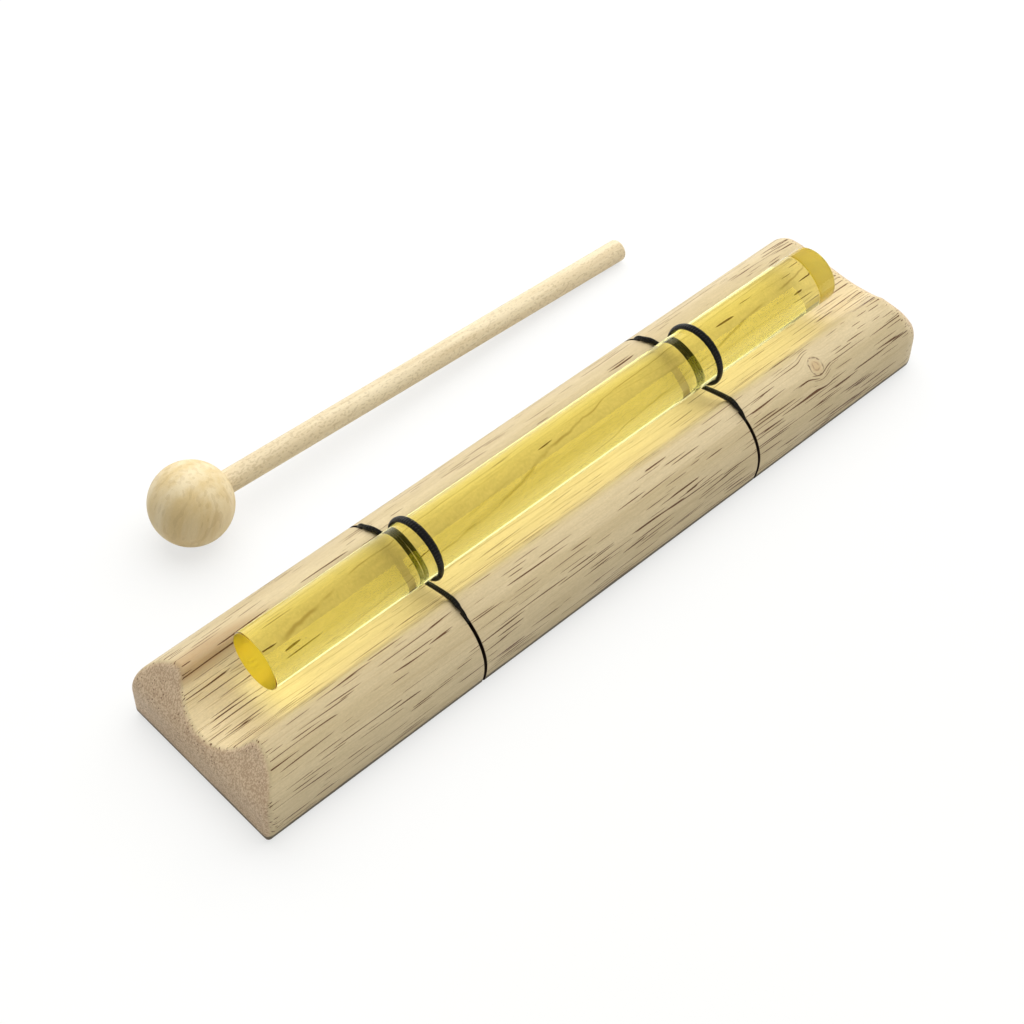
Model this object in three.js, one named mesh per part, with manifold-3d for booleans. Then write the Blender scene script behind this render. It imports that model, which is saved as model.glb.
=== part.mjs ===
// Energy chime: a clear yellow tone bar hangs over the channel of a wooden block in two loops of
// cord, and a wooden ball mallet lies behind it. Sizes are in millimetres and +Z is up. X runs along
// the block, and the origin is the centre of the block's underside.

import * as THREE from 'three';
import { mergeVertices } from 'three/addons/utils/BufferGeometryUtils.js';
import Module from 'manifold-3d';

const clearance = 0.3; // between two pieces that touch

// Tone bar
const barDiameter = 15;
const barLength = 181.5;
const barChamfer = 0.6; // round each end face
const barRise = 4.9; // from the channel's floor to the bar

// Block
const endMargin = 18.25; // block beyond each end of the bar
const channelFloor = 13.5; // wood under the channel
const channelMargin = 7.1; // channel's radius beyond the bar's
const sideWidth = 10.3; // wood beside the channel, at the block's widest
const shoulderRadius = 13.4;
const shoulderRise = 7.6; // crown of the shoulder above the channel's floor
const crestRadius = 2.6; // between the shoulder and the channel
const footInset = 0.75; // base narrower than the widest, on each side
const footRadius = 2; // along each side
const endUpright = 11; // upright part of each end
const endLean = 36.7; // degrees, lean of the bevel above it
const endBlend = 8; // radius between the upright and the bevel
const nearFootRadius = 1.6; // sanded edges of the near end
const nearCornerRadius = 1.8;
const farFootRadius = 5; // the far end is sanded rounder
const farCornerRadius = 4;

// Kerfs and cords
const cordSpacing = 91.3;
const kerfWidth = 1;
const kerfDepth = 7.9; // into each side
const cordDiameter = 1.6;
const flatDepth = 2.4; // cord pressed flat in the kerf
const cordRecess = 0.8; // flat cord above the underside
const turnShift = 1.5; // turn round the bar, beside the kerf
const turnGap = 0.5; // between the strands of the turn

// Mallet
const ballDiameter = 21.2;
const boreDepth = 14; // from the ball's surface
const dowelDiameter = 6.1;
const dowelReach = 145.8; // from the ball's centre to the tip
const tipRadius = 1; // rounded edges of the dowel
const malletAside = 32.7; // from the block's side to the dowel's axis
const malletBack = 66; // from the block's middle to the ball's centre

const barRadius = barDiameter / 2;
const barHeight = channelFloor + barRise + barRadius;
const blockLength = barLength + 2 * endMargin;
const channelRadius = barRadius + channelMargin;
const halfWidth = channelRadius + sideWidth;
const kerfFloor = halfWidth - kerfDepth;
const slotDepth = cordRecess + flatDepth + clearance;
const flatWidth = kerfWidth - 2 * clearance;
const cordRadius = cordDiameter / 2;
const ballRadius = ballDiameter / 2;
const dowelRadius = dowelDiameter / 2;

// Centres across the block, as (y, z) on its back half
const barCentre = new THREE.Vector2(0, barHeight);
const channelCentre = new THREE.Vector2(0, channelFloor + channelRadius);
const shoulderCentre = new THREE.Vector2(
  halfWidth - shoulderRadius,
  channelFloor + shoulderRise - shoulderRadius,
);
const crestCentre = circlesMeet(
  shoulderCentre,
  shoulderRadius - crestRadius,
  channelCentre,
  channelRadius + crestRadius,
);
const crestAngle = angleTo(shoulderCentre, crestCentre);

const wasm = await Module();
wasm.setup();

const blockWood = new THREE.MeshStandardMaterial({ color: 0xd9bf92, roughness: 0.6, metalness: 0 });
const yellowGlass = new THREE.MeshStandardMaterial({
  color: 0xecc022,
  roughness: 0.06,
  metalness: 0,
  transparent: true,
  opacity: 0.55,
});
const blackCord = new THREE.MeshStandardMaterial({ color: 0x151413, roughness: 0.45, metalness: 0 });
const malletWood = new THREE.MeshStandardMaterial({ color: 0xe2cd9c, roughness: 0.55, metalness: 0 });

/** Direction from one point to another, in radians. */
function angleTo(from, to) {
  return Math.atan2(to.y - from.y, to.x - from.x);
}

/** Crossing of two circles, on the right of the way from the first centre to the second. */
function circlesMeet(first, firstRadius, second, secondRadius) {
  const way = second.clone().sub(first);
  const distance = way.length();
  const along = (distance ** 2 + firstRadius ** 2 - secondRadius ** 2) / (2 * distance);
  const aside = Math.sqrt(firstRadius ** 2 - along ** 2);
  const right = new THREE.Vector2(way.y, -way.x).setLength(aside);
  return way.setLength(along).add(right).add(first);
}

/** Points of an arc, both ends included. */
function arcPoints(centre, radius, from, to, steps) {
  return Array.from({ length: steps + 1 }, (_, i) => {
    const angle = from + (to - from) * i / steps;
    return new THREE.Vector2(Math.cos(angle), Math.sin(angle)).multiplyScalar(radius).add(centre);
  });
}

/** The same points on the other side of the vertical axis, in reverse order. */
function mirrored(points) {
  return points.map((point) => new THREE.Vector2(-point.x, point.y)).reverse();
}

function toSolid(geometry) {
  geometry.deleteAttribute('normal');
  geometry.deleteAttribute('uv');
  const merged = mergeVertices(geometry);
  return new wasm.Manifold(new wasm.Mesh({
    numProp: 3,
    vertProperties: merged.attributes.position.array,
    triVerts: Uint32Array.from(merged.index.array),
  }));
}

function toGeometry(solid) {
  const mesh = solid.getMesh();
  const geometry = new THREE.BufferGeometry();
  geometry.setAttribute('position', new THREE.BufferAttribute(mesh.vertProperties, 3));
  geometry.setIndex(new THREE.BufferAttribute(mesh.triVerts, 1));
  geometry.computeVertexNormals();
  return geometry;
}

/** Prism along Z about the middle, from a shape in x and y. */
function prismAlongZ(shape, length) {
  const geometry = new THREE.ExtrudeGeometry(shape, { depth: length, bevelEnabled: false });
  return geometry.translate(0, 0, -length / 2);
}

/** Prism along X about the middle, from a shape in y and z. */
function prismAlongX(shape, length) {
  const basis = new THREE.Matrix4().makeBasis(
    new THREE.Vector3(0, 1, 0),
    new THREE.Vector3(0, 0, 1),
    new THREE.Vector3(1, 0, 0),
  );
  return prismAlongZ(shape, length).applyMatrix4(basis);
}

/** Prism along Y about the middle, from a shape in x and z. */
function prismAlongY(shape, length) {
  return prismAlongZ(shape, length).rotateX(Math.PI / 2);
}

/** Turned piece on the X axis, from a profile of (radius, x) points that starts and ends on it. */
function turned(profile, sides) {
  return new THREE.LatheGeometry(profile, sides).rotateZ(-Math.PI / 2);
}

/** Cross-section of the block: flat base, swelling sides, round shoulders, channel between them. */
function blockSection() {
  const foot = new THREE.Vector2(halfWidth - footInset - footRadius, footRadius);
  const side = new THREE.QuadraticBezierCurve(
    new THREE.Vector2(halfWidth - footInset, footRadius),
    new THREE.Vector2(halfWidth, (footRadius + shoulderCentre.y) / 2),
    new THREE.Vector2(halfWidth, shoulderCentre.y),
  );
  const crestEnd = angleTo(crestCentre, channelCentre);
  const back = [
    ...arcPoints(foot, footRadius, -Math.PI / 2, 0, 4),
    ...side.getPoints(5).slice(1),
    ...arcPoints(shoulderCentre, shoulderRadius, 0, crestAngle, 10).slice(1),
    ...arcPoints(crestCentre, crestRadius, crestAngle, crestEnd, 5).slice(1),
  ];
  const channelStart = crestEnd - Math.PI;
  const channel = arcPoints(channelCentre, channelRadius, channelStart, -Math.PI - channelStart, 14);
  return new THREE.Shape([...back, ...channel.slice(1, -1), ...mirrored(back)]);
}

/** Profile of an end towards +X, as (x, z) from its foot: sanded edge, upright, bevelled back. */
function endProfile(sandedRadius) {
  const lean = THREE.MathUtils.degToRad(endLean);
  const halfLength = blockLength / 2;
  const lower = new THREE.Vector2(halfLength - sandedRadius, sandedRadius);
  const blend = new THREE.Vector2(
    halfLength - endBlend,
    endUpright - endBlend * Math.tan(lean / 2),
  );
  const bevelTop = channelCentre.y;
  const bevelRun = (bevelTop - endUpright) * Math.tan(lean);
  return [
    ...arcPoints(lower, sandedRadius, -Math.PI / 2, 0, 6),
    ...arcPoints(blend, endBlend, 0, lean, 6),
    new THREE.Vector2(halfLength - bevelRun, bevelTop),
  ];
}

/** Side view of the block, with its far end towards +X. */
function blockSideView() {
  return new THREE.Shape([...endProfile(farFootRadius), ...mirrored(endProfile(nearFootRadius))]);
}

/** Plan of the block: a rectangle whose corners are sanded round. */
function blockPlan() {
  const backCorner = (radius) => {
    const centre = new THREE.Vector2(blockLength / 2 - radius, halfWidth - radius);
    return arcPoints(centre, radius, 0, Math.PI / 2, 6);
  };
  const back = [...backCorner(farCornerRadius), ...mirrored(backCorner(nearCornerRadius))];
  const front = back.map((point) => new THREE.Vector2(point.x, -point.y)).reverse();
  return new THREE.Shape([...back, ...front]);
}

/** U across the block, from its back half: the outside going up, then the inside coming down. */
function stirrup(outside, inside) {
  return new THREE.Shape([...mirrored(outside), ...outside, ...inside, ...mirrored(inside)]);
}

/** Saw kerf down both sides and across the underside. */
function kerfCut() {
  const beyond = 2 * halfWidth;
  const above = channelCentre.y;
  const outside = [new THREE.Vector2(beyond, -slotDepth), new THREE.Vector2(beyond, above)];
  const inside = [new THREE.Vector2(kerfFloor, above), new THREE.Vector2(kerfFloor, slotDepth)];
  return prismAlongX(stirrup(outside, inside), kerfWidth);
}

function makeBlock() {
  const section = toSolid(prismAlongX(blockSection(), blockLength));
  const sideView = toSolid(prismAlongY(blockSideView(), 2 * halfWidth));
  const plan = toSolid(prismAlongZ(blockPlan(), 2 * channelCentre.y));
  let block = section.intersect(sideView).intersect(plan);
  for (const side of [-1, 1]) {
    block = block.subtract(toSolid(kerfCut().translate(side * cordSpacing / 2, 0, 0)));
  }
  return toGeometry(block);
}

function makeBar() {
  const half = barLength / 2;
  const profile = [
    new THREE.Vector2(0, -half),
    new THREE.Vector2(barRadius - barChamfer, -half),
    new THREE.Vector2(barRadius, -half + barChamfer),
    new THREE.Vector2(barRadius, half - barChamfer),
    new THREE.Vector2(barRadius - barChamfer, half),
    new THREE.Vector2(0, half),
  ];
  return turned(profile, 48);
}

/** Centre line of a cord's round stretch: kerf, front shoulder, one turn of the bar, back shoulder. */
function cordRoute() {
  const lift = clearance + cordRadius;
  const overShoulder = shoulderRadius + lift;
  const overCrest = crestRadius + lift;
  const roundBar = barRadius + lift;
  const entry = Math.acos((kerfFloor + clearance + cordRadius / 2 - shoulderCentre.x) / overShoulder);
  const opening = Math.acos((overCrest + roundBar) / crestCentre.distanceTo(barCentre));
  const leave = angleTo(crestCentre, barCentre) - opening;
  const meet = leave - Math.PI;

  const overWood = [
    ...arcPoints(shoulderCentre, overShoulder, entry, crestAngle, 3),
    ...arcPoints(crestCentre, overCrest, crestAngle, leave, 5).slice(1),
  ];
  const strand = new THREE.LineCurve(
    overWood.at(-1),
    arcPoints(barCentre, roundBar, meet, meet, 1)[0],
  );
  const back = [...overWood, ...strand.getPoints(6).slice(1)].reverse();
  const turnStart = -Math.PI - meet;
  const turnEnd = meet + 2 * Math.PI;
  const turnSteps = 54;
  const turn = arcPoints(barCentre, roundBar, turnStart, turnEnd, turnSteps).slice(1, -1);

  const halfShift = (cordDiameter + turnGap) * (turnEnd - turnStart) / (4 * Math.PI);
  const firstShift = turnShift - halfShift;
  const lastShift = turnShift + halfShift;
  const kerfDistance = overWood[0].distanceTo(barCentre);
  const beside = (shift) => (point) => {
    const distance = point.distanceTo(barCentre);
    const home = THREE.MathUtils.smoothstep(distance, roundBar + cordRadius, kerfDistance);
    return new THREE.Vector3(shift * (1 - home), point.x, point.y);
  };
  const climb = (point, i) => {
    const shift = THREE.MathUtils.lerp(firstShift, lastShift, (i + 1) / turnSteps);
    return new THREE.Vector3(shift, point.x, point.y);
  };
  return new THREE.CatmullRomCurve3([
    ...mirrored(back).map(beside(firstShift)),
    ...turn.map(climb),
    ...back.map(beside(lastShift)),
  ]);
}

/** Height of a circle about the shoulder's centre, at a distance from the block's middle. */
function heightOverShoulder(y, radius) {
  return shoulderCentre.y + Math.sqrt(radius ** 2 - (y - shoulderCentre.x) ** 2);
}

/** Cord pressed flat in its kerf, rising at both ends into the round stretch. */
function flatCord() {
  const inner = kerfFloor + clearance;
  const outer = inner + flatDepth;
  const corner = new THREE.Vector2(inner, cordRecess + flatDepth);
  const outerTop = heightOverShoulder(outer, shoulderRadius);
  const innerTop = heightOverShoulder(inner, shoulderRadius + clearance + cordRadius);
  const outside = [
    ...arcPoints(corner, flatDepth, -Math.PI / 2, 0, 5),
    new THREE.Vector2(outer, outerTop),
  ];
  const inside = [new THREE.Vector2(inner, innerTop), corner];
  return prismAlongX(stirrup(outside, inside), flatWidth);
}

/** Least gap between two stretches of a cord that are far apart along it. */
function leastGap(route) {
  const points = route.getSpacedPoints(400);
  const skip = Math.ceil(4 * cordDiameter / (route.getLength() / 400));
  let least = Infinity;
  points.forEach((point, i) => {
    points.slice(i + skip).forEach((other) => {
      least = Math.min(least, point.distanceTo(other));
    });
  });
  return least - cordDiameter;
}

function makeCord(route) {
  const section = new THREE.Shape(arcPoints(new THREE.Vector2(), cordRadius, 0, 2 * Math.PI, 8).slice(1));
  const round = new THREE.ExtrudeGeometry(section, { steps: 72, extrudePath: route });
  return toGeometry(toSolid(round).add(toSolid(flatCord())));
}

/** Ball on the X axis, with a blind bore that opens towards +X. */
function makeBall() {
  const boreRadius = dowelRadius + clearance;
  const mouth = Math.acos(boreRadius / ballRadius);
  const boreFloor = ballRadius - boreDepth;
  const outside = arcPoints(new THREE.Vector2(), ballRadius, -Math.PI / 2, mouth, 18).slice(1);
  const profile = [
    new THREE.Vector2(0, -ballRadius),
    ...outside,
    new THREE.Vector2(boreRadius, boreFloor),
    new THREE.Vector2(0, boreFloor),
  ];
  return turned(profile, 36);
}

/** Dowel on the X axis, from the floor of the ball's bore to the tip. */
function makeDowel() {
  const start = ballRadius - boreDepth + clearance;
  const rim = dowelRadius - tipRadius;
  const startEdge = new THREE.Vector2(rim, start + tipRadius);
  const tipEdge = new THREE.Vector2(rim, dowelReach - tipRadius);
  const profile = [
    new THREE.Vector2(0, start),
    ...arcPoints(startEdge, tipRadius, -Math.PI / 2, 0, 3),
    ...arcPoints(tipEdge, tipRadius, 0, Math.PI / 2, 4),
    new THREE.Vector2(0, dowelReach),
  ];
  return turned(profile, 28);
}

/** Dip of the dowel when the ball and the edge of the tip lie on the same table. */
function malletDip() {
  const along = dowelReach - tipRadius;
  const below = dowelRadius - tipRadius;
  return Math.asin((ballRadius - tipRadius) / Math.hypot(along, below)) - Math.atan2(below, along);
}

function piece(name, geometry, material) {
  const mesh = new THREE.Mesh(geometry, material);
  mesh.name = name;
  return mesh;
}

const chime = new THREE.Group();
chime.add(piece('base_block', makeBlock(), blockWood));

const bar = piece('tone_bar', makeBar(), yellowGlass);
bar.position.z = barHeight;
chime.add(bar);

const route = cordRoute();
console.log(`least gap of a cord to itself: ${leastGap(route).toFixed(2)} mm`);
const cord = makeCord(route);
const nearCord = piece('near_cord', cord, blackCord);
nearCord.position.x = -cordSpacing / 2;
const farCord = piece('far_cord', cord.clone(), blackCord.clone());
farCord.position.x = cordSpacing / 2;
chime.add(nearCord, farCord);

const mallet = new THREE.Group();
mallet.add(piece('mallet_head', makeBall(), malletWood));
mallet.add(piece('mallet_handle', makeDowel(), malletWood.clone()));
mallet.position.set(-malletBack, halfWidth + malletAside, ballRadius);
mallet.rotation.y = malletDip();
chime.add(mallet);

export default chime;
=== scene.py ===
"""Looks of the energy chime: turned and sawn wood, clear yellow bar, black cord, and the studio."""

from __future__ import annotations

import logging
import math
from collections.abc import Container
from dataclasses import dataclass
from enum import Enum

import bmesh
import bpy
from mathutils import Matrix, Vector

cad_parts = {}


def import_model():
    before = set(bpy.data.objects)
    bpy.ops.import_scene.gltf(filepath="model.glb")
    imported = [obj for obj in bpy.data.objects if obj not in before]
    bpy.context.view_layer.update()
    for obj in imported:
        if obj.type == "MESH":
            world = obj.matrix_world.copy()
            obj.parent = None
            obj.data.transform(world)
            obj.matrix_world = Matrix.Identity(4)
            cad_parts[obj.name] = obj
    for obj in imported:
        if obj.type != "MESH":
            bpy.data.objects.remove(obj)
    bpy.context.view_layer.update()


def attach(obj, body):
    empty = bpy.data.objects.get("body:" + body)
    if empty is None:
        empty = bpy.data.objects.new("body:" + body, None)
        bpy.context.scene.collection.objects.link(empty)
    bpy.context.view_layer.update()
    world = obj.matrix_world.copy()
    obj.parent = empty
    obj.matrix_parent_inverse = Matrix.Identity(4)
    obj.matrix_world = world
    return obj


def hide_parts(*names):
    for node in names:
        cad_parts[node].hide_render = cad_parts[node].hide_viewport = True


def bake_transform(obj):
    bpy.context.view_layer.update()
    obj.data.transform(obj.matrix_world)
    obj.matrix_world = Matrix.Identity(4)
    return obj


MM = 0.001
WELD = 0.002 * MM
RIM_ANGLE = 1.0
LOG = logging.getLogger("energy_chime")

Pair = tuple[float, float]
Triple = tuple[float, float, float]
Colour = tuple[float, float, float, float]
Value = float | tuple[float, ...] | bpy.types.NodeSocket


class Slot(Enum):
    """Material slots of the record."""

    BLOCK_WOOD = "block_wood"
    TONE_GLASS = "tone_glass"
    CORD = "cord"
    MALLET_WOOD = "mallet_wood"


class Side(Enum):
    """The two long sides of the block, by the sign of Y."""

    FRONT = -1
    BACK = 1


class NodeBoard:
    """Adds nodes to one node tree and joins them."""

    def __init__(self, tree: bpy.types.NodeTree) -> None:
        """Keeps the tree that the nodes go into."""
        self.tree = tree

    def put(self, socket: bpy.types.NodeSocket, value: Value) -> None:
        """Links a socket to another, or sets its own value.

        Args:
            socket: The input to fill.
            value: An output to link, or a plain value.
        """
        if isinstance(value, bpy.types.NodeSocket):
            self.tree.links.new(value, socket)
        else:
            socket.default_value = value

    def add(self, kind: str, inputs: dict[str | int, Value] | None = None,
            **options: object) -> bpy.types.Node:
        """Adds a node.

        Args:
            kind: Blender's name of the node type.
            inputs: Values or outputs for its inputs, by name or place.
            options: The node's own settings.

        Returns:
            The new node.
        """
        node = self.tree.nodes.new(kind)
        for option, setting in options.items():
            setattr(node, option, setting)
        for key, value in (inputs or {}).items():
            self.put(node.inputs[key], value)
        return node

    def math(self, operation: str, first: Value, second: Value = 0.0) -> bpy.types.NodeSocket:
        """Adds a Math node.

        Args:
            operation: The operation's name.
            first: First operand.
            second: Second operand, where the operation has one.

        Returns:
            The result.
        """
        return self.add("ShaderNodeMath", {0: first, 1: second}, operation=operation).outputs[0]

    def times(self, first: Value, second: Value) -> bpy.types.NodeSocket:
        """Adds the product of two numbers or masks."""
        return self.math("MULTIPLY", first, second)

    def distance(self, value: Value, middle: float) -> bpy.types.NodeSocket:
        """Adds how far a number lies from a middle one."""
        return self.math("ABSOLUTE", self.math("SUBTRACT", value, middle))

    def vector(self, operation: str, first: Value, second: Value = (0.0, 0.0, 0.0)) -> bpy.types.NodeSocket:
        """Adds a Vector Math node.

        Args:
            operation: The operation's name.
            first: First vector.
            second: Second vector, where the operation has one.

        Returns:
            The resulting vector, or the number where the operation gives one.
        """
        node = self.add("ShaderNodeVectorMath", {0: first, 1: second}, operation=operation)
        gives_number = operation in {"LENGTH", "DISTANCE", "DOT_PRODUCT"}
        return node.outputs["Value" if gives_number else "Vector"]

    def scale(self, vector: Value, share: Value) -> bpy.types.NodeSocket:
        """Adds a vector or a colour times a number."""
        node = self.add("ShaderNodeVectorMath", {0: vector, "Scale": share}, operation="SCALE")
        return node.outputs["Vector"]

    def split(self, vector: Value) -> bpy.types.bpy_prop_collection:
        """Adds the parts X, Y and Z of a vector."""
        return self.add("ShaderNodeSeparateXYZ", {"Vector": vector}).outputs

    def noise(self, vector: Value, detail: float) -> bpy.types.NodeSocket:
        """Adds a noise of about one bump per unit.

        Args:
            vector: Where the noise is read.
            detail: How many finer layers it has.

        Returns:
            The noise, mostly between 0.25 and 0.75.
        """
        node = self.add("ShaderNodeTexNoise", {"Vector": vector, "Scale": 1.0, "Detail": detail})
        return node.outputs["Fac"]

    def pattern(self, place: Value, counts: Triple, detail: float) -> bpy.types.NodeSocket:
        """Adds a noise that is finer or coarser along each axis.

        Args:
            place: Where the noise is read.
            counts: Bumps per unit along X, Y and Z.
            detail: How many finer layers it has.

        Returns:
            The noise.
        """
        return self.noise(self.vector("MULTIPLY", place, counts), detail)

    def rise(self, value: Value, start: Value, end: Value) -> bpy.types.NodeSocket:
        """Adds a smooth rise from 0 at start to 1 at end.

        Args:
            value: The value that is followed.
            start: Where the rise starts.
            end: Where it ends.

        Returns:
            The rise.
        """
        inputs = {"Value": value, "From Min": start, "From Max": end}
        return self.add("ShaderNodeMapRange", inputs, interpolation_type="SMOOTHSTEP").outputs["Result"]

    def between(self, share: Value, low: float, high: float) -> bpy.types.NodeSocket:
        """Adds a straight change between two values.

        Args:
            share: 0 for low, 1 for high.
            low: Value at 0.
            high: Value at 1.

        Returns:
            The value between them.
        """
        inputs = {"Value": share, "To Min": low, "To Max": high}
        return self.add("ShaderNodeMapRange", inputs).outputs["Result"]

    def mix(self, share: Value, first: Value, second: Value) -> bpy.types.NodeSocket:
        """Adds a mix of two colours.

        Args:
            share: How much of the second colour shows.
            first: First colour.
            second: Second colour.

        Returns:
            The mixed colour.
        """
        node = self.add("ShaderNodeMix", {0: share, 6: first, 7: second}, data_type="RGBA")
        return node.outputs[2]


class Effects:
    """Node groups that more than one finish uses, each built once."""

    # Bumps per metre along X, Y and Z.
    WANDERS: Triple = (9.0, 45.0, 45.0)
    CROWDS: Triple = (7.0, 130.0, 130.0)
    FIBRES: Triple = (260.0, 3000.0, 3000.0)
    PORES: Triple = (1700.0, 4000.0, 4000.0)
    # Lines are longer and narrower than streaks by this much.
    LINE_COUNTS: Triple = (0.4, 1.1, 1.1)
    CROWDING: float = 0.10
    STREAK_EDGE: float = 0.02
    BAND_LENGTH: float = 0.22
    # Where a mask starts and where it is full.
    LINE_EDGE: Pair = (0.56, 0.72)
    TONE_EDGE: Pair = (0.3, 0.7)
    MARK_EDGE: Pair = (0.35, 0.7)

    def __init__(self) -> None:
        """Builds the groups."""
        self.grain = self._build_grain()
        self.touch = self._build_touch()

    @staticmethod
    def _start(name: str, inputs: dict[str, str], outputs: dict[str, str]) -> tuple[NodeBoard, dict, dict]:
        """Starts a group.

        Args:
            name: The group's name.
            inputs: Socket types of its inputs, by name.
            outputs: Socket types of its outputs, by name.

        Returns:
            The board, its inputs' sockets and its outputs' sockets.
        """
        tree = bpy.data.node_groups.new(name, "ShaderNodeTree")
        for direction, sockets in (("INPUT", inputs), ("OUTPUT", outputs)):
            for socket, kind in sockets.items():
                tree.interface.new_socket(name=socket, in_out=direction, socket_type=kind)
        board = NodeBoard(tree)
        entry = board.add("NodeGroupInput")
        leave = board.add("NodeGroupOutput")
        return board, dict(entry.outputs.items()), dict(leave.inputs.items())

    def _build_grain(self) -> bpy.types.NodeTree:
        """Builds wood grain along X: dark vessel streaks, faint long lines, broad tones and fine fibres.

        Returns:
            The group.
        """
        number = "NodeSocketFloat"
        board, given, out = self._start(
            "Wood grain",
            {"Vector": "NodeSocketVector", "Streak length": number, "Streak width": number,
             "Streak limit": number, "Wave": number, "Band width": number},
            {"Streak": number, "Line": number, "Tone": number, "Fibre": number},
        )
        wander = board.add("ShaderNodeTexNoise", {
            "Vector": board.vector("MULTIPLY", given["Vector"], self.WANDERS),
            "Scale": 1.0,
            "Detail": 2.0,
        }).outputs["Color"]
        offset = board.vector("SUBTRACT", wander, (0.5, 0.5, 0.5))
        sideways = board.vector("MULTIPLY", offset, (0.0, 1.0, 1.0))
        place = board.vector("ADD", given["Vector"], board.scale(sideways, given["Wave"]))

        length, width = given["Streak length"], given["Streak width"]
        sizes = board.add("ShaderNodeCombineXYZ", {"X": length, "Y": width, "Z": width}).outputs["Vector"]
        counted = board.vector("DIVIDE", place, sizes)
        vessels = board.noise(counted, 0.0)
        crowd = board.between(board.pattern(place, self.CROWDS, 1.0), self.CROWDING, -self.CROWDING)
        limit = board.math("ADD", given["Streak limit"], crowd)
        board.put(out["Streak"], board.rise(vessels, limit, board.math("ADD", limit, self.STREAK_EDGE)))
        board.put(out["Line"], board.rise(board.pattern(counted, self.LINE_COUNTS, 1.0), *self.LINE_EDGE))

        band = given["Band width"]
        bands = board.add("ShaderNodeCombineXYZ", {"X": self.BAND_LENGTH, "Y": band, "Z": band})
        tone = board.noise(board.vector("DIVIDE", place, bands.outputs["Vector"]), 3.0)
        board.put(out["Tone"], board.rise(tone, *self.TONE_EDGE))
        fibre = board.pattern(place, self.FIBRES, 2.0)
        pores = board.pattern(place, self.PORES, 1.0)
        board.put(out["Fibre"], board.times(board.math("ADD", fibre, pores), 0.5))
        return board.tree

    def _build_touch(self) -> bpy.types.NodeTree:
        """Builds the uneven gloss of a handled surface.

        Returns:
            The group.
        """
        number = "NodeSocketFloat"
        board, given, out = self._start(
            "Touch marks",
            {"Vector": "NodeSocketVector", "Mark size": number},
            {"Mask": number},
        )
        scale = board.math("DIVIDE", 1.0, given["Mark size"])
        inputs = {"Vector": given["Vector"], "Scale": scale, "Detail": 3.0, "Roughness": 0.6}
        marks = board.add("ShaderNodeTexNoise", inputs).outputs["Fac"]
        board.put(out["Mask"], board.rise(marks, *self.MARK_EDGE))
        return board.tree


class Finish:
    """A new material, with its shader and its piece's own coordinates at hand."""

    def __init__(self, name: str, effects: Effects) -> None:
        """Makes the material.

        Args:
            name: The material's name.
            effects: The shared groups.
        """
        self.effects = effects
        self.material = bpy.data.materials.new(name)
        self.material.use_nodes = True
        self.board = NodeBoard(self.material.node_tree)
        self.shader = self.material.node_tree.nodes["Principled BSDF"]
        self.output = self.material.node_tree.nodes["Material Output"]
        self.coordinates = self.board.add("ShaderNodeTexCoord")

    @property
    def place(self) -> bpy.types.NodeSocket:
        """Object coordinates, in metres in the part's frame."""
        return self.coordinates.outputs["Object"]

    def end_on(self) -> bpy.types.NodeSocket:
        """Adds how far the surface faces along X: 0 on a long side, 1 on an upright end."""
        normal = self.board.add("ShaderNodeNewGeometry").outputs["Normal"]
        return self.board.math("ABSOLUTE", self.board.vector("DOT_PRODUCT", normal, (1.0, 0.0, 0.0)))

    def group(self, tree: bpy.types.NodeTree, inputs: dict[str, Value]) -> bpy.types.Node:
        """Places a shared group in the material.

        Args:
            tree: The group.
            inputs: Its values here.

        Returns:
            The group's node.
        """
        node = self.board.add("ShaderNodeGroup", node_tree=tree)
        for name, value in inputs.items():
            self.board.put(node.inputs[name], value)
        return node

    def touch(self, mark_size: float, low: float, high: float) -> bpy.types.NodeSocket:
        """Places the uneven gloss of a handled surface.

        Args:
            mark_size: Size of the marks.
            low: Roughness where it is least.
            high: Roughness where it is greatest.

        Returns:
            The roughness.
        """
        marks = self.group(self.effects.touch, {"Vector": self.place, "Mark size": mark_size})
        return self.board.between(marks.outputs["Mask"], low, high)

    def bump(self, height: Value, depth: float, strength: float) -> None:
        """Gives the surface a relief.

        Args:
            height: Relief, from 0 to 1.
            depth: Its real depth, in metres.
            strength: How strongly it shows.
        """
        inputs = {"Height": height, "Distance": depth, "Strength": strength}
        node = self.board.add("ShaderNodeBump", inputs)
        self.board.put(self.shader.inputs["Normal"], node.outputs["Normal"])

    def set(self, **values: Value) -> None:
        """Fills the shader's inputs, named with underscores for spaces."""
        for name, value in values.items():
            self.board.put(self.shader.inputs[name.replace("_", " ")], value)


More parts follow.
